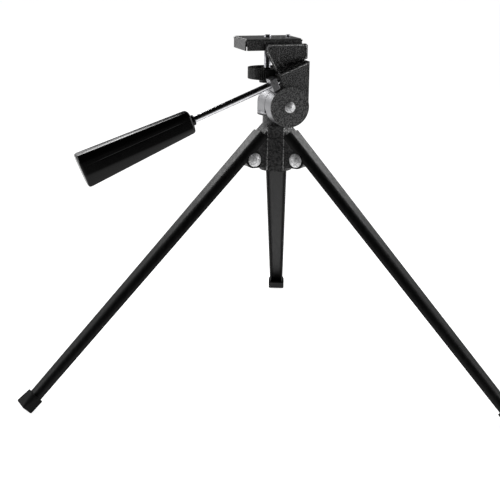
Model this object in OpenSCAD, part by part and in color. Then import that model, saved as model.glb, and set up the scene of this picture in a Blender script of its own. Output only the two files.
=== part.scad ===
// Tabletop tripod with a pan-and-tilt head.
// Millimetres, +Z up. The feet stand on z = 0, the back leg points to +Y, and the head
// is turned a little to the left on its pan axis.

/* [Legs] */
// Leg length from its pivot to the end of its foot
leg_len = 300; // [240:5:360]
// Angle of an open leg from the vertical, in degrees
leg_splay = 45.5; // [35:0.5:50]
// Distance of each leg pivot from the pan axis
leg_pivot_r = 27.4; // [26:0.2:32]
// Width of the leg channel at its pivot
leg_w_top = 21.2; // [20:0.2:24]
// Width of the leg channel at its foot
leg_w_foot = 14.2; // [12:0.2:18]
// Depth of the leg channel, from the open side to the back
leg_depth = 7.9; // [6.5:0.1:11]
// Distance from the pivot out to the open side of the channel
leg_offset = 4.5; // [3.5:0.1:6]
// Thickness of the leg sheet
leg_sheet = 1.2; // [0.8:0.1:1.6]
// Outer corner radius along the back of the channel
leg_corner_r = 6; // [3:0.5:6.5]
// How far the channel runs past its pivot, up to the hub's shoulder
leg_head_len = 23.2; // [18:0.2:24]
// Radius of the ears that hold the pivot rivet
leg_ear_r = 7.6; // [6.5:0.1:8]

/* [Feet] */
// Length of the rubber foot cap
foot_len = 14.5; // [10:0.5:20]
// Wall of the rubber foot cap
foot_wall = 1.6; // [1:0.1:2.4]
// Thickness of rubber under the end of the leg
foot_sole = 2.4; // [1.5:0.1:4]
// Rounding of the sole's edges
foot_round = 1.5; // [0.8:0.1:1.6]

/* [Hub] */
// Radius of the hub's core
hub_r = 14.9; // [14:0.1:16]
// Radius of the hub's neck
neck_r = 12.6; // [11:0.1:13]
// Height of the core's underside, measured from the leg pivots
hub_bottom = -12; // [-16:0.5:-10]
// Height of the neck's top, measured from the leg pivots
neck_top = 39; // [37:0.5:44]
// Radius of the rounded end of each leg lug
lug_r = 8; // [6.5:0.1:8.5]
// Gap between a leg lug and the leg on each side, filled by a washer
lug_gap = 0.6; // [0.4:0.1:1]
// Half width of the flat panel between the front lugs
panel_half = 8; // [5:0.5:9]
// Diameter of the leg rivets' shank
rivet_d = 5; // [4:0.5:6]
// Diameter of the domed rivet heads
rivet_head_d = 13; // [10:0.5:13.5]
// Height of the domed rivet heads
rivet_head_h = 4; // [2:0.2:5]

/* [Head] */
// Angle that the head is turned on its pan axis, in degrees
head_pan = 20; // [-90:1:90]
// Side offset of the tilt axis from the pan axis
tilt_x = 1.9; // [0:0.1:4]
// Radius of the tilt drum
drum_r = 18; // [16:0.2:20]
// Height of the tilt drum's underside above the leg pivots
drum_low = 31.2; // [30.8:0.1:36]
// Front face of the tilt drum, in front of the pan axis
drum_front = 30; // [28:0.5:34]
// Thickness of the tilt drum
drum_len = 15.5; // [13.5:0.5:16.5]
// Thickness of the cap disc on the drum
cap_t = 1.5; // [1:0.1:3]
// Diameter of the pan bolt and of the tilt bolt
bolt_d = 6; // [5:0.5:7]
// Diameter of the tilt bolt's domed head
bolt_head_d = 10; // [9:0.2:14]
// Thickness of the pan base's tongue
tongue_t = 21; // [18:0.5:24]
// Radius of the pan base's foot plate
foot_plate_r = 17.5; // [16:0.5:19]
// Thickness of the pan base's foot plate
foot_plate_t = 2; // [1.5:0.1:3]
// Thickness of the black plate between the hub's neck and the pan base
pan_washer_t = 1.5; // [1:0.1:2]
// Thickness of the tilt drum's friction washer
washer_t = 0.8; // [0.4:0.1:1]

/* [Tilt arm and flip hinge] */
// Slope of the handle, the arm's top and the flip hinge, in degrees
slope = 22; // [15:0.5:28]
// Thickness of the tilt arm
arm_t = 11.5; // [11:0.1:12]
// Distance from the tilt drum to the arm's sloping top
arm_over = 12.4; // [11.8:0.1:15]
// Where the arm's left edge lies along the slope, from the tilt axis
arm_left = 1.2; // [0.6:0.1:2]
// Radius of the flip hinge's barrel
barrel_r = 2.6; // [2:0.1:2.8]
// Diameter of the flip hinge's pin
hinge_pin_d = 2.4; // [2:0.1:3]
// Width of each hinge lug on the arm
hinge_lug_w = 4.5; // [3:0.5:6]

/* [Platform] */
// Length of the platform tray
tray_l = 53; // [50:0.5:60]
// Depth of the platform tray
tray_d = 37.7; // [37:0.1:44]
// Height of the tray's folded edges
tray_h = 9.2; // [7:0.1:11]
// Thickness of the tray sheet
tray_sheet = 1.2; // [0.8:0.1:1.6]
// Height of the tray's top above the arm's sloping top, over the tilt axis
tray_over = 27.7; // [26.4:0.1:32]
// Thickness of the rubber pad
pad_t = 1; // [0.8:0.1:3]
// Thickness of the flip bracket's cheek
cheek_t = 2; // [1.5:0.1:2.4]
// Length of the flip bracket's cheek
cheek_l = 39.3; // [36:0.1:41]
// Gap between the cheek and the tilt arm's top
cheek_gap = 1; // [0.6:0.1:1.4]

/* [Camera screw] */
// Diameter of the camera screw, a quarter-inch thread
screw_d = 6.35; // [6:0.05:7]
// Length of the camera screw above the pad
screw_above = 2.2; // [1.5:0.1:3]
// Side offset of the camera screw from the pan axis
screw_x = -9.5; // [-11:0.1:-9]
// Diameter of the thumb wheel
wheel_d = 35.4; // [30:0.2:35.6]
// Thickness of the thumb wheel
wheel_t = 9.8; // [7:0.1:11]
// Gap between the pan base's tongue and the thumb wheel's underside
wheel_over = 4.5; // [3.8:0.1:6]
// How far the captive camera screw can be lifted
screw_lift = 3; // [2:0.5:4]
// Distance from the camera screw to the locating pin
pin_spacing = 19.3; // [18:0.1:20]
// Diameter of the locating pin
pin_d = 3.8; // [3.5:0.1:5]
// Height of the locating pin above the pad
pin_above = 2; // [1.5:0.1:3]

/* [Handle] */
// Distance from the tilt drum to the handle's line
rod_over = 6; // [5.4:0.1:6.4]
// Diameter of the handle's rod
rod_d = 6; // [5:0.1:7]
// Diameter of the rod's threaded end
rod_thread_d = 5; // [4:0.1:5]
// Distance along the slope from the tilt axis to the grip
grip_start = 86; // [70:1:110]
// Length of the grip
grip_l = 105; // [80:1:130]
// Height of the grip at the rod end
grip_h_near = 20; // [16:0.5:24]
// Height of the grip at the free end
grip_h_far = 30; // [22:0.5:36]
// Width of the grip at the rod end
grip_w_near = 17; // [14:0.5:22]
// Width of the grip at the free end
grip_w_far = 24; // [18:0.5:30]
// Length of the lock nut along the rod
nut_l = 6.3; // [4:0.1:8]
// Width of the lock nut across its flats
nut_w = 12; // [10:0.1:12.4]
// Gap between the lock nut and the arm
nut_gap = 3.3; // [2:0.1:6]

/* [Fits] */
// Radial clearance of a shaft that turns in its hole
run_fit = 0.05; // [0.02:0.01:0.1]
// Radial clearance of a shaft that stays put in its hole
set_fit = 0.02; // [0.01:0.01:0.05]
// Clearance between faces that move past each other
move_gap = 0.4; // [0.3:0.05:0.8]

/* [Hidden] */
$fn = 96;
hull_fn = 32;
eps = 0.01;
reach = 60;

black = [0.09, 0.09, 0.09];
paint = [0.16, 0.16, 0.17];
zinc = [0.72, 0.72, 0.73];
bright = [0.88, 0.88, 0.9];
nylon = [0.9, 0.9, 0.86];

// Leg section: its outer side and its end
leg_out = leg_offset + leg_depth;
leg_end = leg_len - foot_sole;
leg_taper = (leg_w_top - leg_w_foot) / leg_len;
lug_half = leg_w_top / 2 - leg_sheet - lug_gap;
washer_half = lug_half + set_fit;
leg_washer_r = 6.2;
washer_play = 0.1;

// Hub casting: its neck, the cone under it, and the shoulders that stop the open legs
neck_h = 14.6;
core_top = neck_top - neck_h;
core_cone = 6.4;
shoulder_in = 11.2;
shoulder_top = neck_top - 9.2;
shoulder_top_r = neck_r - 2.6;
panel_out = 0.2;
hub_wall = 4;
washer_inset = 1.5;

// Foot cap section
cap_in = leg_offset - foot_wall;
cap_out = leg_out + foot_wall;
cap_half = leg_w_foot / 2 + foot_wall + leg_taper * foot_len / 2;

// Height of the pivots, and the place of the pan axis between the feet
corner_s = leg_len - foot_round;
pivot_z = corner_s * cos(leg_splay) - (cap_in + foot_round) * sin(leg_splay) + foot_round;
foot_reach = leg_pivot_r + corner_s * sin(leg_splay) + (cap_out - foot_round) * cos(leg_splay);
foot_back = foot_reach + foot_round;
foot_front = foot_reach / 2 + (cap_half - foot_round) * cos(30) + foot_round;
axis_y = (foot_front - foot_back) / 2;

// Levels of the head that follow the tilt drum
tilt_z = drum_low + drum_r;
arm_top = drum_r + arm_over;
rod_h = drum_r + rod_over;
wheel_z = tilt_z + drum_r + wheel_over;
tray_top = tilt_z + arm_top + tray_over;

// Levels and planes of the head, from the leg pivots and the pan axis
plate_z = neck_top + pan_washer_t;
block_z = plate_z + foot_plate_t;
drum_back = -drum_front + drum_len;
tongue_front = drum_back + washer_t;
tongue_back = tongue_front + tongue_t;
arm_back = -drum_front + arm_t;
arm_screw_r = 1.25;
arm_screw_l = 8;
arm_screw_in = 0.8;
arm_screw_at = 0.62;
arm_foot = 0.4;
rod_y = -drum_front + arm_t / 2;
spring_t = 1.6;
hex_d = bolt_d * 1.9;
nut_t = 5;
bolt_head_t = 4;
bolt_end = 1.5;
bolt_dome_h = 2.4;
spring_r = hex_d / 2 + 0.6;
spring_bore_r = bolt_d / 2 + 0.1;
spot_gap = 0.3;
hub_recess_z = hub_bottom + 10;
pan_bolt_tip = tilt_z - bolt_d / 2 - 1.2;

// Flip hinge, in the slope's frame: along, depth, up
hinge_h = arm_top + 0.2;
cheek_past = 4.2;
cheek_front = -tray_d / 2 - 0.1 - cheek_t;
cheek_low = arm_top + cheek_gap;
tray_x = screw_x;

// Captive camera screw: a full shank below, a neck through the tray and a free threaded end
relief = 0.25;
seat_gap = 0.05;
free_step = 0.2;
bolt_play = 0.3;
screw_base = wheel_z - 3;
screw_shank_r = screw_d / 2 - relief;
screw_neck_r = screw_shank_r - 0.5;
wheel_hub_t = 3.6;
wheel_hub_r = 7.2;
wheel_dish = 2;
wheel_rim = 2;
wheel_boss_r = 5.5;
wheel_groove_r = 0.6;
clip_t = 1;
clip_r = 5.4;
clip_z = tray_top - tray_sheet - screw_lift - clip_t - 2 * seat_gap;
tray_under = tray_top - tray_sheet;
pad_top = tray_top + pad_t;
tray_low = tray_top - tray_h;
cheek_right = tray_x + tray_l / 2 + cheek_past;
cheek_left = cheek_right - cheek_l;
cheek_top = tray_top - 3.4;
arm_right = tilt_x + drum_r;
right_along = (arm_right - tilt_x) / cos(slope) + arm_top * tan(slope);
lug_a = arm_left + 2;
lug_b = right_along - 3 - hinge_lug_w;
plug_d = 3;
plug_in = 0.4;
bevel_near = 0.23;
bevel_far = 0.38;
rod_step_gap = 1.2;
rod_in_grip = 30;
collar_wall = 1.8;
collar_l = 3;
rod_tip = arm_left + 13.6;

// The bracket's box under the tray, which also houses the locating pin
box_left = screw_x + screw_d / 2 + 3;
box_right = tray_x + tray_l / 2 - tray_sheet - 0.8;
box_back = tray_d / 2 - 7;
box_front = -tray_d / 2 + tray_sheet + 0.2;
box_low = tray_low - 8;
box_wall = 2.4;
corner_notch = 1.6;
tray_screw_r = 1.5;
tray_screw_head_r = 2.7;
tray_screw_l = 7;
box_gap = 0.4;
hinge_foot_t = 1.6;
pad_inset = 1;
pad_hole = 0.6;
pin_x = screw_x + pin_spacing;
pin_tip = 0.3;
pin_flange_t = 1.2;
pin_body_r = pin_d / 2 - relief;
pin_flange_r = pin_d / 2 + 0.7;
pin_floor = box_low + 3.5;
pin_base = tray_under - 6.4;

// ---------------------------------------------------------------- frames
module pivots() {
  translate([0, axis_y, pivot_z]) children();
}

module head() {
  pivots() rotate([0, 0, head_pan]) children();
}

// x runs up the slope, z stands square to it, and the origin is on the tilt axis
module slope_frame() {
  head() translate([tilt_x, 0, tilt_z]) rotate([0, -slope, 0]) children();
}

// x is across the leg, y points out of the leg's back, and z runs up the leg
module leg_frame(turn) {
  pivots() rotate([0, 0, turn]) translate([0, leg_pivot_r, 0]) rotate([leg_splay, 0, 0]) children();
}

// A cylinder along +Y that starts at y
module rod_y_axis(r, y, len, sides = 96) {
  translate([0, y, 0]) rotate([-90, 0, 0]) cylinder(r = r, h = len, $fn = sides);
}

// A cylinder along +X that starts at x
module rod_x_axis(r, x, len) {
  translate([x, 0, 0]) rotate([0, 90, 0]) cylinder(r = r, h = len);
}

// A shallow dome of radius r and height h that stands on z = 0
module dome(r, h) {
  ball = (r * r + h * h) / (2 * h);
  intersection() {
    translate([0, 0, h - ball]) sphere(r = ball);
    cylinder(r = r + 1, h = h + 1);
  }
}

module ring(r_out, r_in, h) {
  difference() {
    cylinder(r = r_out, h = h);
    translate([0, 0, -1]) cylinder(r = r_in, h = h + 2);
  }
}

// ---------------------------------------------------------------- hub
module lug_outline() {
  hull() {
    translate([leg_pivot_r, 0]) circle(r = lug_r, $fn = hull_fn * 2);
    translate([0, -lug_r]) square([hub_r, 2 * lug_r]);
  }
  polygon([[0, 0], [leg_pivot_r - lug_r * 0.4, lug_r * 0.9], [leg_pivot_r - shoulder_in, core_top - 0.6],
           [shoulder_top_r, shoulder_top], [0, shoulder_top]]);
}

module hub_casting() {
  color(paint) pivots() difference() {
    union() {
      translate([0, 0, hub_bottom]) cylinder(r = hub_r, h = core_top - hub_bottom);
      translate([0, 0, core_top - eps]) cylinder(r1 = hub_r, r2 = neck_r, h = core_cone + eps);
      translate([0, 0, core_top]) cylinder(r = neck_r, h = neck_h);
      for (turn = [0, 120, 240])
        rotate([0, 0, turn + 90]) rotate([90, 0, 0])
          translate([0, 0, -lug_half]) linear_extrude(2 * lug_half) lug_outline();
      translate([-panel_half, -hub_r - panel_out, hub_bottom])
        cube([2 * panel_half, hub_r, shoulder_top - hub_bottom]);
    }
    translate([0, 0, hub_bottom - 1]) cylinder(r = hub_r - hub_wall, h = hub_recess_z - hub_bottom + 1);
    cylinder(r = bolt_d / 2 + run_fit, h = neck_top * 3, center = true);
    for (turn = [0, 120, 240])
      rotate([0, 0, turn]) translate([0, leg_pivot_r, 0]) rotate([0, 90, 0])
        cylinder(r = rivet_d / 2 + set_fit, h = 3 * lug_half, center = true);
  }
}

module pan_washer() {
  color(black) head() intersection() {
    translate([0, 0, neck_top]) ring(foot_plate_r, bolt_d / 2 + bolt_play, pan_washer_t);
    translate([-foot_plate_r, tongue_front, 0]) cube([2 * foot_plate_r, 2 * foot_plate_r, 2 * neck_top]);
  }
}

module leg_rivet(turn) {
  seat = leg_w_top / 2 + leg_taper * rivet_head_d / 4 + seat_gap;
  color(bright) leg_frame(turn) {
    rotate([0, 90, 0]) cylinder(r = rivet_d / 2, h = 2 * seat + 2 * eps, center = true);
    for (side = [0, 1])
      mirror([side, 0, 0]) translate([seat, 0, 0]) rotate([0, 90, 0])
        dome(rivet_head_d / 2, rivet_head_h);
  }
}

module leg_washers() {
  color(nylon) for (turn = [0, 120, 240])
    leg_frame(turn) for (side = [0, 1])
      mirror([side, 0, 0]) translate([washer_half, 0, 0]) rotate([0, 90, 0])
        ring(leg_washer_r, rivet_d / 2 + bolt_play, lug_gap - set_fit - washer_play);
}

// ---------------------------------------------------------------- legs
// A section with its open side at y_in and rounded corners along the back
module leg_section(half, y_in, y_out, r) {
  corner = min(r, half - 0.2, y_out - y_in - 0.2);
  intersection() {
    hull() {
      translate([-half, y_in]) square([2 * half, eps]);
      for (side = [-1, 1])
        translate([side * (half - corner), y_out - corner]) circle(r = corner, $fn = hull_fn);
    }
    translate([-half, y_in]) square([2 * half, y_out - y_in]);
  }
}

// The tapered body between two distances down the leg, grown by a margin
module leg_taper_body(from, to, grow, y_in, y_out) {
  hull() for (s = [from, to])
    translate([0, 0, -s]) linear_extrude(eps)
      leg_section((leg_w_top - leg_taper * s) / 2 + grow, y_in, y_out, leg_corner_r + grow);
}

module leg_channel(turn) {
  color(black) leg_frame(turn) difference() {
    union() {
      difference() {
        leg_taper_body(-leg_head_len, leg_end, 0, leg_offset, leg_out);
        leg_taper_body(-leg_head_len - 1, leg_end + 1, -leg_sheet, leg_offset - 1, leg_out - leg_sheet);
      }
      for (side = [0, 1])
        mirror([side, 0, 0]) translate([leg_w_top / 2 - leg_sheet, 0, 0]) rotate([0, 90, 0])
          linear_extrude(leg_sheet) {
            circle(r = leg_ear_r);
            translate([-leg_ear_r, 0]) square([2 * leg_ear_r, leg_offset + 0.6]);
          }
    }
    rotate([0, 90, 0]) cylinder(r = rivet_d / 2 + run_fit, h = 2 * leg_w_top, center = true);
  }
}

module foot_cap(turn) {
  color([0.05, 0.05, 0.05]) leg_frame(turn) difference() {
    hull() {
      translate([0, 0, -leg_len + foot_len - eps]) linear_extrude(eps)
        leg_section(cap_half, cap_in, cap_out, leg_corner_r);
      for (side = [-1, 1])
        for (y = [cap_in + foot_round, cap_out - foot_round])
          translate([side * (cap_half - foot_round), y, -corner_s]) sphere(r = foot_round, $fn = 24);
    }
    leg_taper_body(leg_len - foot_len - 2, leg_end + 0.02, 0.03, leg_offset - 0.03, leg_out + 0.03);
  }
}

// ---------------------------------------------------------------- pan base
module pan_base() {
  color(zinc) head() difference() {
    union() {
      intersection() {
        translate([0, 0, plate_z]) cylinder(r = foot_plate_r, h = foot_plate_t + eps);
        translate([-reach, tongue_front, 0]) cube([2 * reach, 2 * reach, 2 * reach]);
      }
      translate([tilt_x, 0, tilt_z]) rod_y_axis(drum_r, tongue_front, tongue_t);
      intersection() {
        translate([tilt_x - drum_r, tongue_front, block_z]) cube([2 * drum_r, tongue_t, tilt_z - block_z]);
        translate([-reach, tongue_front, block_z]) cube([2 * reach, tongue_t, 2 * reach]);
      }
    }
    translate([-reach, -reach, -reach]) cube([2 * reach, 2 * reach, reach + plate_z]);
    translate([0, 0, plate_z - 1]) cylinder(r = bolt_d / 2 + set_fit, h = pan_bolt_tip - plate_z + 1.5);
    translate([tilt_x, 0, tilt_z]) rod_y_axis(bolt_d / 2 + run_fit, tongue_front - 1, tongue_t + 2);
    translate([tilt_x, 0, tilt_z]) rod_y_axis(spring_r + spot_gap, tongue_back, foot_plate_r);
  }
}

module pan_bolt() {
  head_top = hub_recess_z - spring_t;
  color(zinc) head() {
    translate([0, 0, head_top - eps]) cylinder(r = bolt_d / 2, h = pan_bolt_tip - head_top + eps);
    translate([0, 0, head_top - bolt_head_t]) cylinder(r = hex_d / 2, h = bolt_head_t, $fn = 6);
  }
}

module pan_spring_washer() {
  color(zinc) head() translate([0, 0, hub_recess_z - spring_t])
    ring(spring_r, spring_bore_r, spring_t - seat_gap);
}

module tilt_washer() {
  color(black) head() translate([tilt_x, drum_back, tilt_z]) rotate([-90, 0, 0])
    ring(drum_r - washer_inset, bolt_d / 2 + bolt_play, washer_t - seat_gap);
}

// ---------------------------------------------------------------- tilt body
module tilt_drum() {
  color(zinc) head() translate([tilt_x, 0, tilt_z]) difference() {
    rod_y_axis(drum_r, -drum_front, drum_len);
    rod_y_axis(bolt_d / 2 + set_fit, -drum_front - 1, drum_len + 2);
    arm_screw_places() rod_y_axis(arm_screw_r + set_fit, -drum_front - 1, arm_screw_l + 1);
  }
}

// Two small screws that tie the cap disc to the drum, beside the tilt bolt
module arm_screw_places() {
  for (a = [60, 240])
    rotate([0, a, 0]) translate([drum_r * arm_screw_at, 0, 0]) children();
}

// The arm's outline in the head's x and z, above the drum
module arm_outline() {
  far = (arm_right - tilt_x) * tan(slope) + arm_top / cos(slope);
  difference() {
    polygon(concat(
      [for (p = [[arm_left, arm_top], [arm_left, drum_r * arm_foot]])
        [tilt_x + p[0] * cos(slope) - p[1] * sin(slope), tilt_z + p[0] * sin(slope) + p[1] * cos(slope)]],
      [[tilt_x, tilt_z], [arm_right, tilt_z - 1], [arm_right, tilt_z + far]]));
    translate([tilt_x, tilt_z]) circle(r = drum_r + set_fit);
    translate([tilt_x - reach, tilt_z - reach]) square([2 * reach, reach]);
  }
}

module hinge_axis() {
  slope_frame() translate([0, rod_y, hinge_h]) children();
}

module tilt_arm() {
  color(paint) difference() {
    union() {
      head() translate([0, arm_back, 0]) rotate([90, 0, 0]) linear_extrude(arm_t) arm_outline();
      hinge_axis() for (x = [lug_a, lug_b]) rod_x_axis(barrel_r, x, hinge_lug_w);
    }
    hinge_axis() {
      rod_x_axis(hinge_pin_d / 2 + set_fit, lug_a - 0.5, lug_b + hinge_lug_w - lug_a + 1);
      rod_x_axis(barrel_r + move_gap, lug_a + hinge_lug_w, lug_b - lug_a - hinge_lug_w);
    }
    slope_frame() translate([0, rod_y, rod_h]) {
      rod_x_axis(rod_thread_d / 2 + run_fit, arm_left - 4, rod_tip - arm_left + 4.4);
      translate([rod_tip - plug_in, 0, 0]) cylinder(r = plug_d / 2 + set_fit, h = arm_top - rod_h);
    }
  }
}

module tilt_cap_disc() {
  color(paint) head() translate([tilt_x, 0, tilt_z]) difference() {
    rod_y_axis(drum_r, -drum_front - cap_t, cap_t);
    rod_y_axis(bolt_d / 2 + set_fit, -drum_front - cap_t - 1, cap_t + 2);
    arm_screw_places() rod_y_axis(arm_screw_r + set_fit, -drum_front - arm_screw_in - 0.2, 2);
  }
}

module arm_screws() {
  color(zinc) head() translate([tilt_x, 0, tilt_z])
    arm_screw_places() rod_y_axis(arm_screw_r, -drum_front - arm_screw_in, arm_screw_l);
}

module tilt_bolt() {
  seat = drum_front + cap_t;
  color(bright) head() translate([tilt_x, 0, tilt_z]) {
    rod_y_axis(bolt_d / 2, -seat - eps, seat + tongue_back + spring_t + nut_t + bolt_end);
    translate([0, -seat, 0]) rotate([90, 0, 0]) dome(bolt_head_d / 2, bolt_dome_h);
  }
}

module tilt_spring_washer() {
  color(zinc) head() translate([tilt_x, tongue_back + seat_gap, tilt_z]) rotate([-90, 0, 0])
    ring(spring_r, spring_bore_r, spring_t - 2 * seat_gap);
}

module tilt_nut() {
  color(zinc) head() translate([tilt_x, tongue_back + spring_t, tilt_z]) rotate([-90, 0, 0])
    difference() {
      cylinder(r = hex_d / 2, h = nut_t, $fn = 6);
      translate([0, 0, -1]) cylinder(r = bolt_d / 2 + set_fit, h = nut_t + 2);
    }
}

module flip_hinge_pin() {
  color(zinc) hinge_axis() rod_x_axis(hinge_pin_d / 2, lug_a, lug_b + hinge_lug_w - lug_a);
}

module brake_plug() {
  color(nylon) slope_frame() translate([rod_tip - plug_in, rod_y, rod_h + rod_thread_d / 2 - 0.1])
    cylinder(r = plug_d / 2, h = hinge_h - barrel_r - move_gap - rod_h - rod_thread_d / 2 + 0.3);
}

// ---------------------------------------------------------------- handle
module lock_nut() {
  right = arm_left - nut_gap;
  color(bright) slope_frame() translate([right - nut_l, rod_y, rod_h]) difference() {
    intersection() {
      translate([0, -nut_w / 2, -nut_w / 2]) cube([nut_l, nut_w, nut_w]);
      rod_x_axis(nut_w * 0.66, 0, nut_l);
    }
    rod_x_axis(rod_d / 2 + run_fit, -1, nut_l + 2);
  }
}

module handle_rod() {
  step = arm_left - rod_step_gap;
  cone = rod_thread_d / 2;
  color(bright) slope_frame() translate([0, rod_y, rod_h]) {
    rod_x_axis(rod_d / 2, -grip_start - rod_in_grip, grip_start + rod_in_grip + step);
    rod_x_axis(rod_thread_d / 2, step - eps, rod_tip - cone - step);
    translate([rod_tip - cone - 2 * eps, 0, 0]) rotate([0, 90, 0])
      rotate_extrude() polygon([[0, 0], [cone, 0], [0.2, cone - 0.2], [0, cone - 0.2]]);
  }
}

// An eight-sided grip section in y and z, with a deeper bevel below
module grip_section(w, h, low) {
  top = h * 0.16;
  side = w * 0.2;
  polygon([[-w / 2, -h / 2 + low], [-w / 2 + side, -h / 2], [w / 2 - side, -h / 2], [w / 2, -h / 2 + low],
           [w / 2, h / 2 - top], [w / 2 - side, h / 2], [-w / 2 + side, h / 2], [-w / 2, h / 2 - top]]);
}

module handle_grip() {
  color(black) slope_frame() translate([0, rod_y, rod_h]) difference() {
    union() {
      hull() {
        translate([-grip_start, 0, 0]) rotate([90, 0, -90]) linear_extrude(eps)
          grip_section(grip_w_near, grip_h_near, grip_h_near * bevel_near);
        translate([-grip_start - grip_l, 0, 0]) rotate([90, 0, -90]) linear_extrude(eps)
          grip_section(grip_w_far, grip_h_far, grip_h_far * bevel_far);
      }
      rod_x_axis(rod_d / 2 + collar_wall, -grip_start - 1, collar_l + 1);
    }
    rod_x_axis(rod_d / 2 + set_fit, -grip_start - rod_in_grip - 0.2, rod_in_grip + 10);
  }
}

// ---------------------------------------------------------------- platform
// The cheek's outline in the head's x and z
module cheek_outline() {
  low_left = [arm_left + 1, cheek_low];
  low = [tilt_x + low_left[0] * cos(slope) - low_left[1] * sin(slope),
         tilt_z + low_left[0] * sin(slope) + low_left[1] * cos(slope)];
  right_z = low[1] + (cheek_right - low[0]) * tan(slope);
  corner = 1.5;
  polygon([low, [cheek_right, right_z], [cheek_right, cheek_top - corner],
           [cheek_right - corner, cheek_top], [cheek_left, cheek_top],
           [cheek_left, cheek_top - 5.6], [cheek_left + 2.4, cheek_top - 10]]);
}

module flip_bracket() {
  color(paint) difference() {
    union() {
      head() translate([0, cheek_front + cheek_t, 0]) rotate([90, 0, 0])
        linear_extrude(cheek_t) cheek_outline();
      // Box that carries the tray behind the cheek
      head() translate([box_left, cheek_front + cheek_t - eps, box_low])
        cube([box_right - box_left, box_back - cheek_front - cheek_t + eps, tray_low - 0.3 - box_low]);
      head() translate([box_left, box_front, tray_low - 1])
        cube([box_right - box_left, box_back - box_front, tray_under - tray_low + 1]);
      // Barrel and foot that join the cheek to the hinge
      hinge_axis() {
        rod_x_axis(barrel_r, lug_a + hinge_lug_w + move_gap, lug_b - lug_a - hinge_lug_w - 2 * move_gap);
        translate([lug_a + hinge_lug_w + move_gap, 0, cheek_low - hinge_h])
          cube([lug_b - lug_a - hinge_lug_w - 2 * move_gap, cheek_front + cheek_t / 2 - rod_y, hinge_foot_t]);
      }
    }
    hinge_axis() rod_x_axis(hinge_pin_d / 2 + run_fit, 0, 2 * right_along);
    head() {
      // Hollow of the box, open below
      difference() {
        translate([box_left + box_wall, cheek_front + cheek_t + box_gap, box_low - 1])
          cube([box_right - box_left - 2 * box_wall, box_back - box_wall - cheek_front - cheek_t,
                tray_under - box_wall - box_low + 1]);
        translate([pin_x, 0, box_low - 2]) cylinder(r = pin_flange_r + 2.2, h = 60);
        tray_screw_places() translate([0, 0, box_low - 2]) cylinder(r = 3.2, h = 60);
      }
      translate([pin_x, 0, pin_floor]) cylinder(r = pin_flange_r + run_fit, h = 60);
      tray_screw_places() translate([0, 0, tray_under - tray_screw_l - 1])
        cylinder(r = tray_screw_r + set_fit, h = tray_screw_l + 5);
    }
  }
}

module tray_screw_places() {
  x = (box_left + 3.4 + pin_x - 5.4) / 2;
  for (y = [-11, 7]) translate([x, y, 0]) children();
}

module platform_tray() {
  color(paint) head() difference() {
    translate([tray_x - tray_l / 2, -tray_d / 2, tray_low]) cube([tray_l, tray_d, tray_h]);
    translate([tray_x - tray_l / 2 + tray_sheet, -tray_d / 2 + tray_sheet, tray_low - 1])
      cube([tray_l - 2 * tray_sheet, tray_d - 2 * tray_sheet, tray_under - tray_low + 1]);
    for (sx = [-1, 1]) for (sy = [-1, 1])
      translate([tray_x + sx * tray_l / 2, sy * tray_d / 2, tray_low + (tray_h - tray_sheet) / 2 - 0.5])
        cube([2 * corner_notch, 2 * corner_notch, tray_h - tray_sheet + 1], center = true);
    translate([screw_x, 0, tray_low]) cylinder(r = screw_neck_r + run_fit, h = reach);
    translate([pin_x, 0, tray_low]) cylinder(r = pin_d / 2 + run_fit, h = reach);
    tray_screw_places() translate([0, 0, tray_low]) cylinder(r = tray_screw_r + set_fit, h = reach);
  }
}

module platform_pad() {
  color(black) head() difference() {
    translate([tray_x - tray_l / 2 + pad_inset, -tray_d / 2 + pad_inset, tray_top])
      cube([tray_l - 2 * pad_inset, tray_d - 2 * pad_inset, pad_t]);
    translate([screw_x, 0, tray_low]) cylinder(r = screw_d / 2 + pad_hole, h = reach);
    translate([pin_x, 0, tray_low]) cylinder(r = pin_d / 2 + pad_hole, h = reach);
    tray_screw_places() translate([0, 0, tray_low]) cylinder(r = tray_screw_head_r + 0.2, h = reach);
  }
}

module tray_screws() {
  color(zinc) head() tray_screw_places() {
    translate([0, 0, tray_under - tray_screw_l])
      cylinder(r = tray_screw_r, h = tray_screw_l + tray_sheet + eps);
    translate([0, 0, tray_top]) cylinder(r = tray_screw_head_r, h = pad_t * 0.7);
  }
}

// ---------------------------------------------------------------- camera screw
module camera_screw() {
  color(bright) head() translate([screw_x, 0, 0]) {
    translate([0, 0, screw_base]) cylinder(r = screw_shank_r, h = clip_z - screw_base);
    translate([0, 0, clip_z - eps]) cylinder(r = screw_neck_r, h = tray_top + seat_gap - clip_z + 2 * eps);
    translate([0, 0, tray_top + seat_gap]) cylinder(r = screw_shank_r, h = pad_t - seat_gap + free_step);
    translate([0, 0, pad_top + free_step - eps]) cylinder(r = screw_d / 2, h = screw_above - free_step + eps);
  }
}

module thumb_wheel() {
  teeth = 60;
  color(black) head() translate([screw_x, 0, wheel_z]) difference() {
    union() {
      cylinder(r = wheel_d / 2, h = wheel_t);
      translate([0, 0, -wheel_hub_t]) cylinder(r = wheel_hub_r, h = wheel_hub_t + eps);
    }
    translate([0, 0, wheel_t - wheel_dish]) ring(wheel_d / 2 - wheel_rim, wheel_boss_r, 2 * wheel_dish);
    translate([0, 0, -10]) cylinder(r = screw_shank_r + set_fit, h = 40);
    for (i = [0 : teeth - 1])
      rotate([0, 0, i * 360 / teeth]) translate([wheel_d / 2 + 0.25, 0, -1])
        cylinder(r = wheel_groove_r, h = wheel_t + 2, $fn = 12);
  }
}

module screw_retaining_clip() {
  color(zinc) head() translate([screw_x, 0, clip_z + seat_gap]) ring(clip_r, screw_neck_r + run_fit, clip_t);
}

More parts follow.
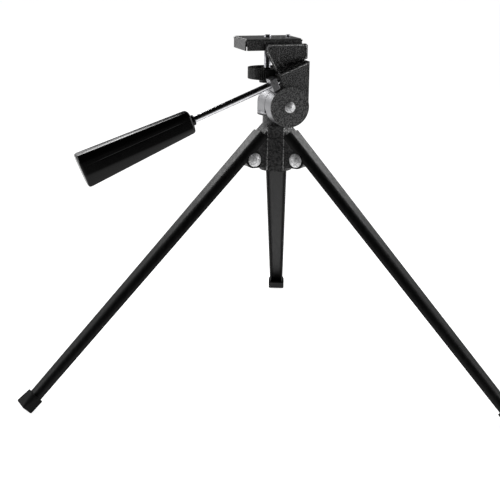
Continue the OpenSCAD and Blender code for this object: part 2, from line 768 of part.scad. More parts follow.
module locating_pin() {
  color(bright) head() translate([pin_x, 0, 0]) {
    translate([0, 0, pin_base]) cylinder(r = pin_body_r, h = pad_top + free_step - pin_base);
    translate([0, 0, pad_top + free_step - eps])
      cylinder(r = pin_d / 2, h = pin_above - free_step - pin_tip + eps);
    translate([0, 0, pad_top + pin_above - pin_tip - eps])
      cylinder(r1 = pin_d / 2, r2 = pin_d / 2 - pin_tip, h = pin_tip + eps);
    translate([0, 0, tray_under - pin_flange_t - 2 * seat_gap]) cylinder(r = pin_flange_r, h = pin_flange_t);
  }
}

// Points of a coil: rings of a round wire around a helix
module pin_spring() {
  turns = 5;
  steps = 14;
  sides = 6;
  wire_r = 0.25;
  coil_r = pin_flange_r - wire_r - 0.1;
  z0 = pin_floor + wire_r;
  z1 = pin_base - wire_r - 0.1;
  n = turns * steps;
  points = [for (i = [0 : n]) for (k = [0 : sides - 1])
    let (a = 360 * i / steps, b = 360 * k / sides, r = coil_r + wire_r * cos(b))
      [r * cos(a), r * sin(a), z0 + (z1 - z0) * i / n + wire_r * sin(b)]];
  walls = [for (i = [0 : n - 1]) for (k = [0 : sides - 1])
    let (j = (k + 1) % sides) [i * sides + k, i * sides + j, (i + 1) * sides + j, (i + 1) * sides + k]];
  caps = [[for (k = [sides - 1 : -1 : 0]) k], [for (k = [0 : sides - 1]) n * sides + k]];
  color(zinc) head() translate([pin_x, 0, 0]) polyhedron(points, concat(walls, caps));
}

hub_casting();
pan_washer();
leg_rivet(120);  // leg_rivet_left
leg_rivet(-120);  // leg_rivet_right
leg_rivet(0);  // leg_rivet_back
leg_washers();
leg_channel(120);  // leg_channel_left
leg_channel(-120);  // leg_channel_right
leg_channel(0);  // leg_channel_back
foot_cap(120);  // foot_cap_left
foot_cap(-120);  // foot_cap_right
foot_cap(0);  // foot_cap_back
pan_base();
pan_bolt();
pan_spring_washer();
tilt_washer();
tilt_drum();
tilt_arm();
tilt_cap_disc();
arm_screws();
tilt_bolt();
tilt_spring_washer();
tilt_nut();
flip_hinge_pin();
brake_plug();
lock_nut();
handle_rod();
handle_grip();
flip_bracket();
platform_tray();
platform_pad();
tray_screws();
camera_screw();
thumb_wheel();
screw_retaining_clip();
locating_pin();
pin_spring();
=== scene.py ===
"""Looks for the tabletop tripod with a pan-and-tilt head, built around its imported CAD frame."""

from math import cos, pi, radians, sin, tan

import bmesh
import bpy
from mathutils import Matrix, Vector


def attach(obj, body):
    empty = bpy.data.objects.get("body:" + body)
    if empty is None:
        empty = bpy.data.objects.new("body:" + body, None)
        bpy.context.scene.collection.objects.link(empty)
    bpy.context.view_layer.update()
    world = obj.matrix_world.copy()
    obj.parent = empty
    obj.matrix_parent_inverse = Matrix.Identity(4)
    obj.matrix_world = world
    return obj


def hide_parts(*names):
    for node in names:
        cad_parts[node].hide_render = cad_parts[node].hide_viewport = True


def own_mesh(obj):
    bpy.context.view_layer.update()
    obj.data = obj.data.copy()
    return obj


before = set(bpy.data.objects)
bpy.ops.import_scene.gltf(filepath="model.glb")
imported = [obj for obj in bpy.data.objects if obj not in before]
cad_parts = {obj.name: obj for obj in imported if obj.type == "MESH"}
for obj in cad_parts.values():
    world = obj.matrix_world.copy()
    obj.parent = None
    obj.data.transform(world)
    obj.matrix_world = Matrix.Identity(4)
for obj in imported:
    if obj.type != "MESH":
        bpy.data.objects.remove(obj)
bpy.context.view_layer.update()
MM = 0.001

# ---------------------------------------------------------------- sizes of the part, in millimetres
PIVOT_Z = 207.583
AXIS_Y = -59.076
HEAD_PAN = 20
SLOPE = 22
TILT_X, TILT_Z = 1.9, 49.2
DRUM_FRONT, DRUM_R = 30.0, 18.0
ARM_T, ARM_TOP, ARM_LEFT = 11.5, 30.4, 1.2
ROD_Y = -DRUM_FRONT + ARM_T / 2
ROD_H, ROD_D = 24.0, 6.0
TONGUE_BACK = 7.3
SPRING_T = 1.6
SEAT_GAP, SET_FIT = 0.05, 0.02
BOLT_D = 6.0
HEX_D = BOLT_D * 1.9
HUB_RECESS = -2.0
GRIP_START, GRIP_L = 86.0, 105.0
GRIP_CORNER, GROOVE_W = 1.6, 0.9
TRAY_TOP, TRAY_D, TRAY_L = 107.3, 37.7, 53.0
PAD_T = 1.0
SCREW_X, SCREW_D, SCREW_ABOVE = -9.5, 6.35, 2.2
SHANK_R, NECK_R, CLIP_Z = 2.925, 2.425, 102.0
WHEEL_Z = 71.7
NUT_T = 5.0
PANEL_FRONT = -15.1
CHEEK_T, CHEEK_L, CHEEK_GAP = 2.0, 39.3, 1.0
CHEEK_PAST, CHEEK_DROP = 4.2, 3.4
PIN_X, COIL_R, COIL_LOW, COIL_HIGH, PIN_TRAVEL = 9.8, 2.25, 93.6, 99.6, 2.0


def place(*steps):
    """One matrix from moves and turns, in metres: a three-number move, or (angle, axis)."""
    out = Matrix.Identity(4)
    for step in steps:
        if len(step) == 3:
            out = out @ Matrix.Translation(Vector(step) * MM)
        else:
            out = out @ Matrix.Rotation(radians(step[0]), 4, step[1])
    return out


PIVOTS = place((0, AXIS_Y, PIVOT_Z))
HEAD = PIVOTS @ place((HEAD_PAN, "Z"))
TILT = HEAD @ place((TILT_X, 0, TILT_Z))
SLOPED = TILT @ place((-SLOPE, "Y"))
FORWARD = Vector((0, -1, 0))


# ---------------------------------------------------------------- materials
class Finish:
    """A node material with a Principled shader, built up by short calls."""

    def __init__(self, name, colour, rough, metal=0.0, **sockets):
        self.mat = bpy.data.materials.new(name)
        self.mat.use_nodes = True
        self.nodes = self.mat.node_tree.nodes
        self.links = self.mat.node_tree.links
        self.bsdf = self.nodes["Principled BSDF"]
        self.bsdf.inputs["Base Color"].default_value = (*colour, 1)
        self.bsdf.inputs["Roughness"].default_value = rough
        self.bsdf.inputs["Metallic"].default_value = metal
        for key, value in sockets.items():
            self.bsdf.inputs[key.replace("_", " ")].default_value = value
        self.coord = self.nodes.new("ShaderNodeTexCoord").outputs["Object"]
        self.normal = None

    def stretch(self, sx, sy, sz):
        """Texture coordinates scaled differently along each axis."""
        mapping = self.nodes.new("ShaderNodeMapping")
        mapping.inputs["Scale"].default_value = (sx, sy, sz)
        self.links.new(self.coord, mapping.inputs["Vector"])
        return mapping.outputs["Vector"]

    def noise(self, size_mm, detail=3.0, rough=0.55, coord=None):
        node = self.nodes.new("ShaderNodeTexNoise")
        node.inputs["Scale"].default_value = 1 / (size_mm * MM)
        node.inputs["Detail"].default_value = detail
        node.inputs["Roughness"].default_value = rough
        self.links.new(coord or self.coord, node.inputs["Vector"])
        return node.outputs["Fac"]

    def cells(self, size_mm, feature="DISTANCE_TO_EDGE", coord=None):
        node = self.nodes.new("ShaderNodeTexVoronoi")
        node.feature = feature
        node.inputs["Scale"].default_value = 1 / (size_mm * MM)
        self.links.new(coord or self.coord, node.inputs["Vector"])
        return node.outputs["Distance"]

    def ramp(self, value, *stops):
        """A value turned into colours or greys by (place, colour) stops."""
        node = self.nodes.new("ShaderNodeValToRGB")
        elements = node.color_ramp.elements
        while len(elements) < len(stops):
            elements.new(0.5)
        for element, (at, colour) in zip(elements, stops):
            element.position = at
            grey = not isinstance(colour, (tuple, list))
            element.color = (colour, colour, colour, 1) if grey else (*colour, 1)
        self.links.new(value, node.inputs["Fac"])
        return node.outputs["Color"]

    def maths(self, what, a, b):
        node = self.nodes.new("ShaderNodeMath")
        node.operation = what
        for socket, value in zip(node.inputs, (a, b)):
            if isinstance(value, (int, float)):
                socket.default_value = value
            else:
                self.links.new(value, socket)
        return node.outputs[0]

    def bump(self, height, depth_mm, strength=1.0):
        node = self.nodes.new("ShaderNodeBump")
        node.inputs["Strength"].default_value = strength
        node.inputs["Distance"].default_value = depth_mm * MM
        self.links.new(height, node.inputs["Height"])
        if self.normal:
            self.links.new(self.normal, node.inputs["Normal"])
        self.normal = node.outputs["Normal"]
        self.links.new(self.normal, self.bsdf.inputs["Normal"])
        return self

    def colour(self, socket):
        self.links.new(socket, self.bsdf.inputs["Base Color"])
        return self

    def rough(self, socket):
        self.links.new(socket, self.bsdf.inputs["Roughness"])
        return self


def wrinkle_paint(name, tone, grain, depth):
    """Crackled casting paint: fine folds, painted darker in their hollows as painted shade and paler on the
    crests as a painted highlight.
    """
    f = Finish(name, (tone, tone, tone), 0.4, Specular_IOR_Level=0.4)
    folds = f.noise(grain, 2, 0.5)
    fine = f.noise(grain * 0.4, 3, 0.7)
    height = f.maths("ADD", f.ramp(folds, (0.36, 0.0), (0.62, 1.0)), f.maths("MULTIPLY", fine, 0.5))
    # The colour follows the fold height: painted shade in the folds, painted highlight on the crests.
    f.colour(f.ramp(height, (0.3, tone * 0.25), (0.8, tone), (1.0, tone * 3.0)))
    f.rough(f.ramp(fine, (0.3, 0.28), (0.7, 0.46)))
    return f.bump(height, depth).mat


def sheet_paint(name, tone):
    """Smooth satin stove enamel on sheet steel: orange peel, faint streaks and a few scuffs."""
    f = Finish(name, (tone, tone, tone), 0.4, IOR=1.25)
    peel = f.noise(1.1, 3, 0.6)
    streaks = f.noise(2.5, 4, 0.6, f.stretch(1.0, 0.25, 0.25))
    f.colour(f.ramp(streaks, (0.3, tone * 0.7), (0.7, tone * 1.3)))
    f.rough(f.ramp(streaks, (0.3, 0.38), (0.72, 0.5)))
    return f.bump(peel, 0.09, 0.8).bump(f.noise(0.35, 2), 0.01, 0.5).mat


def rubber(name, tone):
    f = Finish(name, (tone, tone, tone), 0.72, IOR=1.25)
    grain = f.noise(0.5, 4, 0.7)
    f.colour(f.ramp(f.noise(6, 3), (0.35, tone * 0.8), (0.7, tone * 1.5)))
    f.rough(f.ramp(grain, (0.3, 0.6), (0.7, 0.85)))
    return f.bump(grain, 0.05, 0.7).mat


def ribbed_pad(name, tone):
    """Anti-slip pad: worn smooth, with shallow pimples."""
    f = Finish(name, (tone, tone, tone), 0.28)
    dots = f.cells(1.1, "F1")
    f.colour(f.ramp(f.noise(4, 3), (0.3, tone * 0.8), (0.7, tone * 1.3)))
    return f.bump(f.ramp(dots, (0.25, 1.0), (0.6, 0.0)), 0.03).mat


def plated(name, tone, rough, mottle, metal=1.0, cloud=2.2):
    """Plated steel: bright metal with cloudy, slightly pitted patches."""
    f = Finish(name, tone, rough, metal)
    clouds = f.noise(cloud, 5, 0.65)
    pits = f.noise(0.5, 3, 0.6)
    dull = tuple(c * (1 - mottle) for c in tone)
    f.colour(f.ramp(clouds, (0.38, dull), (0.58, tone)))
    f.rough(f.ramp(clouds, (0.35, rough + 0.18), (0.62, rough)))
    return f.bump(pits, 0.02, mottle).mat


def turned(name, tone, rough):
    """Machined aluminium or zinc: satin, with fine tool marks across its grain."""
    f = Finish(name, tone, rough, 1.0)
    marks = f.noise(0.5, 3, 0.6, f.stretch(1.0, 1.0, 6.0))
    f.colour(f.ramp(f.noise(5, 3), (0.3, tuple(c * 0.82 for c in tone)), (0.7, tone)))
    f.rough(f.ramp(marks, (0.3, rough * 0.8), (0.7, rough * 1.3)))
    return f.bump(marks, 0.012, 0.5).mat


def moulded(name, tone, rough, peel_mm, depth):
    """Moulded plastic: a slightly wavy gloss with dust-fine grain."""
    f = Finish(name, (tone, tone, tone), rough, IOR=1.36, Specular_IOR_Level=0.3)
    waves = f.noise(peel_mm, 2)
    f.colour(f.ramp(waves, (0.3, tone * 0.85), (0.7, tone * 1.2)))
    f.rough(f.ramp(f.noise(0.9, 4), (0.35, rough * 0.8), (0.7, rough * 1.3)))
    return f.bump(waves, depth, 0.25).mat


def washer_stuff(name, colour, rough):
    """Nylon or fibre washers: a soft solid with a little cloudiness."""
    f = Finish(name, colour, rough, Subsurface_Weight=0.05)
    cloud = f.noise(1.5, 4)
    f.colour(f.ramp(cloud, (0.3, tuple(c * 0.8 for c in colour)), (0.7, colour)))
    return f.bump(f.noise(0.3, 3), 0.02, 0.5).mat


MATERIALS = {
    "paint_hub": wrinkle_paint("wrinkle_paint", 0.016, 1.5, 0.4),
    "paint_arm": wrinkle_paint("wrinkle_paint_fine", 0.018, 1.2, 0.3),
    "paint_disc": wrinkle_paint("wrinkle_paint_disc", 0.034, 1.2, 0.3),
    "paint_leg": sheet_paint("satin_leg_paint", 0.006),
    "paint_tray": wrinkle_paint("wrinkle_paint_tray", 0.018, 1.1, 0.14),
    "rubber": rubber("cap_rubber", 0.004),
    "pad": ribbed_pad("pad_rubber", 0.16),
    "zinc": turned("satin_zinc", (0.27, 0.27, 0.28), 0.42),
    "bright": plated("chrome_plate", (0.78, 0.78, 0.8), 0.12, 0.2),
    "nut": plated("nut_nickel", (0.3, 0.3, 0.31), 0.34, 0.5),
    # A pale wrinkle paint, ten times the others' tone: a painted highlight for the beads and ridges that catch
    # the side light.
    "painted_highlight": wrinkle_paint("wrinkle_painted_highlight", 0.16, 0.9, 0.1),
    "steel": plated("screw_steel", (0.3, 0.3, 0.32), 0.3, 0.3),
    "rivet": plated("rivet_nickel", (0.95, 0.95, 0.96), 0.4, 0.6, 0.35, 1.6),
    "nylon": washer_stuff("white_nylon", (0.62, 0.61, 0.56), 0.45),
    "fibre": washer_stuff("black_fibre", (0.02, 0.02, 0.02), 0.6),
    "grip": moulded("grip_gloss", 0.003, 0.2, 7.0, 0.05),
    "wheel": moulded("wheel_plastic", 0.012, 0.34, 2.0, 0.03),
}

# Finish and edge rounding (mm) of every CAD node that shows as it is
NODE_LOOKS = {
    "hub_casting": ("paint_hub", 1.0),
    "pan_washer": ("fibre", 0.1),
    "leg_rivet_left": ("rivet", 0.4),
    "leg_rivet_right": ("rivet", 0.4),
    "leg_rivet_back": ("rivet", 0.4),
    "leg_washers": ("nylon", 0.05),
    "leg_channel_left": ("paint_leg", 0.25),
    "leg_channel_right": ("paint_leg", 0.25),
    "leg_channel_back": ("paint_leg", 0.25),
    "foot_cap_left": ("rubber", 0.9),
    "foot_cap_right": ("rubber", 0.9),
    "foot_cap_back": ("rubber", 0.9),
    "pan_base": ("zinc", 0.4),
    "pan_bolt": ("zinc", 0.3),
    "tilt_washer": ("fibre", 0.1),
    "tilt_drum": ("zinc", 0.4),
    "tilt_arm": ("paint_arm", 0.7),
    "tilt_cap_disc": ("paint_disc", 0.6),
    "arm_screws": ("zinc", 0.1),
    "tilt_bolt": ("rivet", 0.3),
    "flip_hinge_pin": ("zinc", 0.1),
    "brake_plug": ("nylon", 0.1),
    "lock_nut": ("nut", 0.6),
    "handle_rod": ("bright", 0.15),
    "flip_bracket": ("paint_arm", 0.45),
    "platform_tray": ("paint_tray", 0.35),
    "platform_pad": ("pad", 0.25),
    "tray_screws": ("zinc", 0.2),
    "thumb_wheel": ("wheel", 0.35),
    "screw_retaining_clip": ("zinc", 0.1),
    "locating_pin": ("steel", 0.2),
}


def dress(obj, finish):
    obj.data.materials.clear()
    obj.data.materials.append(MATERIALS[finish])


def soften(obj, width):
    """Rounds the sharp edges by modifiers, which leaves the CAD mesh itself alone."""
    weld = obj.modifiers.new("weld", "WELD")
    weld.merge_threshold = 2e-6
    bevel = obj.modifiers.new("edges", "BEVEL")
    bevel.width = width * MM
    bevel.segments = 2
    bevel.limit_method = "ANGLE"
    bevel.angle_limit = radians(32)
    bevel.harden_normals = False
    normals = obj.modifiers.new("normals", "WEIGHTED_NORMAL")
    normals.keep_sharp = False


for node, (finish, width) in NODE_LOOKS.items():
    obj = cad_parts[node]
    dress(obj, finish)
    if width:
        soften(obj, width)


# ---------------------------------------------------------------- mesh helpers
def make(name, verts, faces, finish, body, slot, *replaced, smooth=30):
    """A new piece from vertices in metres, dressed and riding on its body; the slot argument is not used."""
    mesh = bpy.data.meshes.new(name)
    mesh.from_pydata([tuple(v) for v in verts], [], faces)
    bm = bmesh.new()
    bm.from_mesh(mesh)
    bmesh.ops.recalc_face_normals(bm, faces=bm.faces)
    bm.to_mesh(mesh)
    bm.free()
    mesh.shade_smooth()
    mesh.set_sharp_from_angle(angle=radians(smooth))
    obj = bpy.data.objects.new(name, mesh)
    bpy.context.scene.collection.objects.link(obj)
    dress(obj, finish)
    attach(obj, body)
    if replaced:
        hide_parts(*replaced)
    return obj


def loft(rings, closed_ends=True):
    """Faces that join equal rings of points in order, with the ends filled."""
    count = len(rings[0])
    verts = [p for ring in rings for p in ring]
    faces = []
    for i in range(len(rings) - 1):
        for j in range(count):
            k = (j + 1) % count
            faces.append((i * count + j, i * count + k, (i + 1) * count + k, (i + 1) * count + j))
    if closed_ends:
        last = (len(rings) - 1) * count
        faces.append(tuple(reversed(range(count))))
        faces.append(tuple(range(last, last + count)))
    return verts, faces


def closed_loft(rings):
    """A loft whose last ring joins its first, like a turned or ring-shaped solid."""
    total = len(rings) * len(rings[0])
    verts, faces = loft(rings + [rings[0]], False)
    return verts[:total], [tuple(i % total for i in f) for f in faces]


def circle(matrix, radius, height, sides):
    """A ring of points round the matrix's z axis, in metres, from sizes in mm."""
    return [matrix @ (Vector((radius * cos(a), radius * sin(a), height)) * MM)
            for a in (2 * pi * i / sides for i in range(sides))]


def lathe(profile, matrix, sides=64):
    """A turned ring from (radius, height) points in mm; the last point joins the first."""
    return closed_loft([circle(matrix, r, h, sides) for r, h in profile])


# ---------------------------------------------------------------- camera screw with its thread
def build_camera_screw(pitch=1.27, depth=0.6, sides=40, per_turn=8):
    """The captive screw: a full shank, a thin neck through the tray, and a threaded end with a lead-in."""
    axis = HEAD @ place((SCREW_X, 0, 0))
    top, shoulder, foot = TRAY_TOP + PAD_T + SCREW_ABOVE, TRAY_TOP + SEAT_GAP, WHEEL_Z - 3.0
    crest, root = SCREW_D / 2, SCREW_D / 2 - depth
    lead_in, foot_chamfer, neck_chamfer = 0.7, 0.4, 0.3
    # Height, radius, and 1 where the thread is cut
    levels = [(foot, SHANK_R - 0.5, 0), (foot + foot_chamfer, SHANK_R, 0), (CLIP_Z - neck_chamfer, SHANK_R, 0),
              (CLIP_Z, SHANK_R - neck_chamfer, 0), (CLIP_Z, NECK_R, 0), (shoulder, NECK_R, 0),
              (shoulder, root, 0)]
    steps = int((top - lead_in - shoulder) / pitch * per_turn)
    levels += [(shoulder + pitch / per_turn * (i + 1), crest, 1) for i in range(steps)]
    levels += [(top - 0.1, root - 0.15, 0), (top, root - 0.4, 0)]
    rings = []
    for h, r, cut in levels:
        ring = []
        for i in range(sides):
            phase = ((h - shoulder) / pitch - i / sides) % 1.0
            a, here = 2 * pi * i / sides, r - cut * depth * abs(2 * phase - 1)
            ring.append(axis @ (Vector((here * cos(a), here * sin(a), h)) * MM))
        rings.append(ring)
    verts, faces = loft(rings)
    make("camera_screw_threaded", verts, faces, "steel", "screw_wheel", "bright", "camera_screw", smooth=50)


# ---------------------------------------------------------------- spring washers, the nut and the pin's spring
def split_washer(name, matrix, inner, outer, height, body, node):
    """A coil-spring washer: one square turn with its cut ends a little apart."""
    thick, gap, sides = height * 0.62, radians(8), 60
    section = ((inner, 0), (outer, 0), (outer, thick), (inner, thick))
    rings = []
    for i in range(sides + 1):
        a = gap / 2 + (2 * pi - gap) * i / sides
        z = (height - thick) * i / sides
        rings.append([matrix @ (Vector((r * cos(a), r * sin(a), z + h)) * MM) for r, h in section])
    verts, faces = loft(rings)
    make(name, verts, faces, "zinc", body, "zinc", node)


def hex_nut(name, matrix, across_corners, bore, height, finish, body, node, sides=96):
    """A six-sided nut whose corners are chamfered on both faces, with a countersunk bore."""
    flat = across_corners / 2 * cos(pi / 6)
    face_r, countersink_r, countersink = flat * 0.96, bore * 1.12, 0.4
    chamfer = tan(radians(30))
    rings = []
    for base, sign in ((0.0, 1), (height, -1)):
        rim = []
        for i in range(sides):
            a = 2 * pi * i / sides
            r = flat / cos((a % (pi / 3)) - pi / 6)
            fall = max(0.0, r - face_r) * chamfer
            rim.append(matrix @ (Vector((r * cos(a), r * sin(a), base + sign * fall)) * MM))
        part = [circle(matrix, bore, base + sign * countersink, sides),
                circle(matrix, countersink_r, base, sides), circle(matrix, face_r, base, sides), rim]
        rings += part if sign > 0 else list(reversed(part))
    verts, faces = closed_loft(rings)
    make(name, verts, faces, finish, body, finish, node)


def build_fasteners():
    """The spring washers under the two bolts' nut and head, and the tilt bolt's nut."""
    across = TILT @ place((0, TONGUE_BACK, 0), (-90, "X"))
    inner, outer = BOLT_D / 2 + 0.1, HEX_D / 2 + 0.6
    split_washer("tilt_split_washer", across @ place((0, 0, SEAT_GAP)), inner, outer,
                 SPRING_T - 2 * SEAT_GAP, "tilt_body", "tilt_spring_washer")
    hex_nut("tilt_hex_nut", across @ place((0, 0, SPRING_T)), HEX_D, BOLT_D / 2 + SET_FIT, NUT_T,
            "zinc", "tilt_body", "tilt_nut")
    split_washer("pan_split_washer", HEAD @ place((0, 0, HUB_RECESS - SPRING_T)), inner, outer,
                 SPRING_T - SEAT_GAP, "pan_body", "pan_spring_washer")


def build_pin_coil(wire=0.25, turns=6.5, per_turn=20, sides=8):
    """The spring under the locating pin: its end turns lie flat."""
    axis = HEAD @ place((PIN_X, 0, 0))
    low, high = COIL_LOW + wire, COIL_HIGH - wire
    closed = 2 * wire + 0.02
    section = [(COIL_R + wire * cos(b), wire * sin(b)) for b in (2 * pi * k / sides for k in range(sides))]
    rings = []
    for i in range(int(turns * per_turn) + 1):
        t, a = i / per_turn, 2 * pi * i / per_turn
        z = low + closed * min(1.0, t)
        z += (high - low - 2 * closed) * min(1.0, max(0.0, (t - 1) / (turns - 2)))
        z += closed * max(0.0, t - turns + 1)
        rings.append([axis @ (Vector((r * cos(a), r * sin(a), z + h)) * MM) for r, h in section])
    verts, faces = loft(rings)
    coil = make("pin_coil", verts, faces, "zinc", "pin_plunger", "zinc", "pin_spring", smooth=60)
    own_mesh(coil)


# ---------------------------------------------------------------- grip
def rounded(points, radius, steps=4):
    """A closed outline of (x, y) points with its corners rounded."""
    out = []
    count = len(points)
    for i in range(count):
        p = Vector(points[i])
        a = Vector(points[i - 1]) - p
        b = Vector(points[(i + 1) % count]) - p
        cut = min(radius, a.length * 0.45, b.length * 0.45)
        start, end = p + a.normalized() * cut, p + b.normalized() * cut
        for s in range(steps + 1):
            t = s / steps
            out.append(tuple(start * (1 - t) ** 2 + p * 2 * t * (1 - t) + end * t * t))
    return out


def grip_ring(x, w, h, low, inset, groove):
    """One section of the grip across the rod: y runs along the head's depth and z square to the rod."""
    top, side, line = h * 0.16, w * 0.2, h * 0.16
    w, h = w - 2 * inset, h - 2 * inset
    g = GROOVE_W / 2
    outline = [(-w / 2, -h / 2 + low), (-w / 2 + side, -h / 2), (w / 2 - side, -h / 2), (w / 2, -h / 2 + low),
               (w / 2, line - g), (w / 2 - groove, line), (w / 2, line + g),
               (w / 2, h / 2 - top), (w / 2 - side, h / 2), (-w / 2 + side, h / 2), (-w / 2, h / 2 - top),
               (-w / 2, line + g), (-w / 2 + groove, line), (-w / 2, line - g)]
    return [SLOPED @ (Vector((x, ROD_Y + y, ROD_H + z)) * MM) for y, z in rounded(outline, GRIP_CORNER)]


def build_grip():
    """A tapered moulded grip with rolled ends and a shallow line along each side."""
    # Width, height and lower bevel at each end
    near, far = (17.0, 20.0, 20.0 * 0.23), (24.0, 30.0, 30.0 * 0.38)
    groove_depth, roll = 0.35, (1.8, 0.9, 0.3)
    # Place along the grip, inset of the outline, and depth of the side lines
    stations = [(0.0, roll[0], 0), (0.004, roll[1], 0), (0.012, roll[2], 0), (0.025, 0, 0), (0.1, 0, 0)]
    stations += [(t, 0, groove_depth) for t in (0.13, 0.3, 0.55, 0.82)]
    stations += [(0.85, 0, 0), (0.975, 0, 0), (0.988, roll[2], 0), (0.996, roll[1], 0), (1.0, roll[0], 0)]
    rings = []
    for t, inset, groove in stations:
        w, h, low = (a + (b - a) * t for a, b in zip(near, far))
        rings.append(grip_ring(-GRIP_START - GRIP_L * t, w, h, low, inset, groove))
    verts, faces = loft(rings)
    inner, outer, length = ROD_D / 2 + SEAT_GAP, ROD_D / 2 + 1.8, 3.2
    collar = lathe([(inner, 0), (outer - 0.4, 0), (outer, 0.4), (outer, length), (inner, length)],
                   SLOPED @ place((-GRIP_START + 3, ROD_Y, ROD_H), (-90, "Y")), 48)
    shift = len(verts)
    verts += collar[0]
    faces += [tuple(i + shift for i in f) for f in collar[1]]
    make("grip_moulding", verts, faces, "grip", "handle", "grip", "handle_grip", smooth=40)


# ---------------------------------------------------------------- raised border round the cheek
def build_cheek_border():
    """The cheek's pressed rim: a low bead that follows its outline, just inside the edge."""
    c, s, t = cos(radians(SLOPE)), sin(radians(SLOPE)), tan(radians(SLOPE))
    low_a, low_h = ARM_LEFT + 1, ARM_TOP + CHEEK_GAP
    low = (TILT_X + low_a * c - low_h * s, TILT_Z + low_a * s + low_h * c)
    right = SCREW_X + TRAY_L / 2 + CHEEK_PAST
    left = right - CHEEK_L
    top = TRAY_TOP - CHEEK_DROP
    outline = [low, (right, low[1] + (right - low[0]) * t), (right, top), (left, top),
               (left, top - 5.6), (left + 2.4, top - 10)]
    front = -TRAY_D / 2 - 0.1 - CHEEK_T
    rings = []
    # Distance in from the edge and height above the face, across the bead
    for inset, rise in ((0.5, -0.05), (0.55, 0.3), (0.85, 0.45), (1.35, 0.45), (1.65, 0.3), (1.7, -0.05)):
        path = offset_in(outline, inset)
        rings.append([HEAD @ (Vector((x, front - rise, z)) * MM) for x, z in rounded(path, 2.0, 5)])
    verts, faces = loft(rings, False)
    # The bead is painted pale as a painted highlight along the cheek's rim.
    make("cheek_border", verts, faces, "painted_highlight", "platform", "paint_hub", smooth=60)


def bead(path, width, rise, normal):
    """Rings of a low half-round bead along a path of points, standing up along its normal (all in mm)."""
    sunk, end_scale, points = 0.05, 0.35, 7
    rings = []
    for i, p in enumerate(path):
        ahead = Vector(path[min(i + 1, len(path) - 1)]) - Vector(path[max(i - 1, 0)])
        across = ahead.cross(normal).normalized() * width / 2
        end = end_scale if i in (0, len(path) - 1) else 1.0
        rings.append([Vector(p) + across * cos(a) * end + normal * (rise * end * sin(a) - sunk)
                      for a in (pi * k / (points - 1) for k in range(points))])
    return rings


def build_hub_ribs():
    """Two cast ridges down the sides of the hub's front panel."""
    low, high, half, front, blend = -11.0, 28.8, 7.4, PANEL_FRONT, 0.6
    verts, faces = [], []
    for x in (-half, half):
        path = [(x, front, z) for z in (low, low + blend, high - blend, high)]
        part = loft([[PIVOTS @ (p * MM) for p in ring] for ring in bead(path, 1.1, 0.35, FORWARD)])
        faces += [tuple(i + len(verts) for i in f) for f in part[1]]
        verts += part[0]
    # The ridges are painted pale as a painted highlight where their edges catch the light.
    make("hub_panel_ribs", verts, faces, "painted_highlight", "tripod_hub", "paint_hub", smooth=60)


def build_arm_rib():
    """The ridge along the front edge of the arm's sloping top."""
    right = (DRUM_R / cos(radians(SLOPE)) + ARM_TOP * tan(radians(SLOPE)))
    path = [(x, -DRUM_FRONT, ARM_TOP - 0.9) for x in (ARM_LEFT + 1.2, ARM_LEFT + 2, right - 2, right - 1.2)]
    verts, faces = loft([[SLOPED @ (p * MM) for p in ring] for ring in bead(path, 1.0, 0.3, FORWARD)])
    # The ridge is painted pale as a painted highlight along the arm's top front edge.
    make("arm_rib", verts, faces, "painted_highlight", "tilt_body", "paint_hub", smooth=60)


def offset_in(points, distance):
    """A closed outline moved inward by a distance, corner by corner."""
    area = sum(points[i - 1][0] * points[i][1] - points[i][0] * points[i - 1][1] for i in range(len(points)))
    turn = 1 if area > 0 else -1
    out = []
    count = len(points)
    for i in range(count):
        p = Vector(points[i])
        a = (p - Vector(points[i - 1])).normalized()
        b = (Vector(points[(i + 1) % count]) - p).normalized()
        na, nb = Vector((-a.y, a.x)) * turn, Vector((-b.y, b.x)) * turn
        mid = (na + nb).normalized()
        out.append(tuple(p + mid * distance / max(0.3, mid.dot(na))))
    return out


build_camera_screw()
build_fasteners()
build_pin_coil()
build_grip()
build_cheek_border()
build_hub_ribs()
build_arm_rib()


# ---------------------------------------------------------------- studio
def emitter(name, where, target, size, power):
    """A rectangular soft box that looks at a point, all in metres."""
    light = bpy.data.lights.new(name, "AREA")
    light.shape = "RECTANGLE"
    light.size, light.size_y = size
    light.energy = power
    obj = bpy.data.objects.new(name, light)
    obj.location = where
    obj.rotation_euler = (Vector(target) - Vector(where)).to_track_quat("-Z", "Y").to_euler()
    obj.visible_camera = False
    bpy.context.scene.collection.objects.link(obj)


def build_floor(radius=9.0, sides=64):
    """A plain white table top; what the object reflects of it falls off to grey far in front."""
    mesh = bpy.data.meshes.new("floor")
    mesh.from_pydata([(radius * cos(2 * pi * i / sides), radius * sin(2 * pi * i / sides), -0.0002)
                      for i in range(sides)], [], [tuple(range(sides))])
    floor = bpy.data.objects.new("floor", mesh)
    bpy.context.scene.collection.objects.link(floor)
    f = Finish("floor_white", (0.7, 0.7, 0.7), 0.9, Specular_IOR_Level=0.0)
    split = f.nodes.new("ShaderNodeSeparateXYZ")
    f.links.new(f.coord, split.inputs[0])
    along = f.maths("ADD", f.maths("MULTIPLY", split.outputs["Y"], 0.4), 0.5)
    seen = f.nodes.new("ShaderNodeLightPath").outputs["Is Camera Ray"]
    f.colour(f.maths("MAXIMUM", f.ramp(along, (0.2, 0.25), (0.36, 0.7)), f.maths("MULTIPLY", seen, 0.7)))
    glow = f.ramp(along, (0.2, 0.06), (0.36, 0.72), (0.6, 0.76), (0.95, 1.0))
    f.links.new(f.maths("MAXIMUM", glow, f.maths("MULTIPLY", seen, 0.85)), f.bsdf.inputs["Emission Color"])
    f.bsdf.inputs["Emission Strength"].default_value = 1.0
    floor.data.materials.append(f.mat)


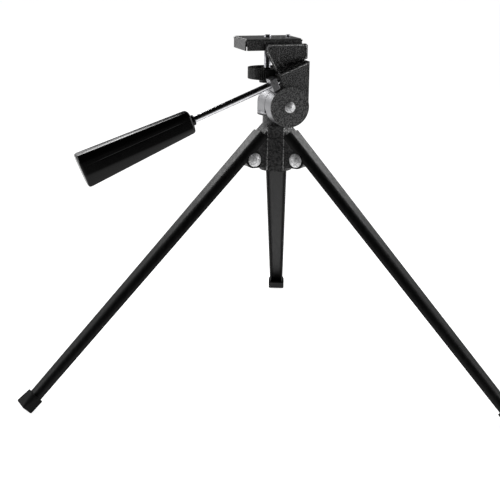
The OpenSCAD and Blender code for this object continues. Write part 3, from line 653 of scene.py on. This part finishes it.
def build_world():
    """A white backdrop; the object reflects it bright low behind and darker overhead and in front."""
    world = bpy.data.worlds.new("studio")
    bpy.context.scene.world = world
    world.use_nodes = True
    nodes, links = world.node_tree.nodes, world.node_tree.links
    coord = nodes.new("ShaderNodeTexCoord")
    split = nodes.new("ShaderNodeSeparateXYZ")
    links.new(coord.outputs["Generated"], split.inputs[0])
    nodes["Background"].inputs["Color"].default_value = (1, 1, 1, 1)
    product = nodes.new("ShaderNodeMath")
    product.operation = "MULTIPLY"
    # Socket, axis, the range along it, and the values at the range's ends
    back_to_front = (0, "Y", -0.5, 0.6, 0.005, 0.055)
    up_to_ceiling = (1, "Z", 0.3, 0.5, 1.0, 0.22)
    for socket, axis, low, high, at_low, at_high in (back_to_front, up_to_ceiling):
        ramp = nodes.new("ShaderNodeMapRange")
        for key, value in zip(("From Min", "From Max", "To Min", "To Max"), (low, high, at_low, at_high)):
            ramp.inputs[key].default_value = value
        links.new(split.outputs[axis], ramp.inputs["Value"])
        links.new(ramp.outputs[0], product.inputs[socket])
    shown = nodes.new("ShaderNodeMath")
    shown.operation = "MAXIMUM"
    links.new(product.outputs[0], shown.inputs[0])
    links.new(nodes.new("ShaderNodeLightPath").outputs["Is Camera Ray"], shown.inputs[1])
    links.new(shown.outputs[0], nodes["Background"].inputs["Strength"])


def build_camera():
    """Stands a metre in front of the tripod, a little above its head, and looks down by 16 degrees."""
    data = bpy.data.cameras.new("camera")
    data.lens = 78.74
    data.sensor_width = 36
    data.clip_start, data.clip_end = 0.05, 50
    camera = bpy.data.objects.new("camera", data)
    camera.matrix_world = (Matrix.Translation((0.01548, -1.05692, 0.40219))
                           @ Matrix.Rotation(radians(2.18), 4, "Z") @ Matrix.Rotation(radians(74.01), 4, "X")
                           @ Matrix.Rotation(radians(0.75), 4, "Z"))
    bpy.context.scene.collection.objects.link(camera)
    bpy.context.scene.camera = camera


build_floor()
build_world()
for side, name in ((-1, "left"), (1, "right")):
    emitter(name + "_box", (side * 1.3, -0.1, 0.5), (0, -0.05, 0.25), (0.7, 0.9), 9)
    emitter(name + "_back_box", (side * 1.0, 0.95, 0.75), (0, -0.05, 0.2), (1.0, 0.9), 3)
    emitter(name + "_near_box", (side * 0.33, 0.25, 0.5), (side * 0.03, -0.07, 0.17), (0.22, 0.22), 1.1)
build_camera()
bpy.context.scene.view_settings.view_transform = "Standard"

bpy.context.view_layer.update()
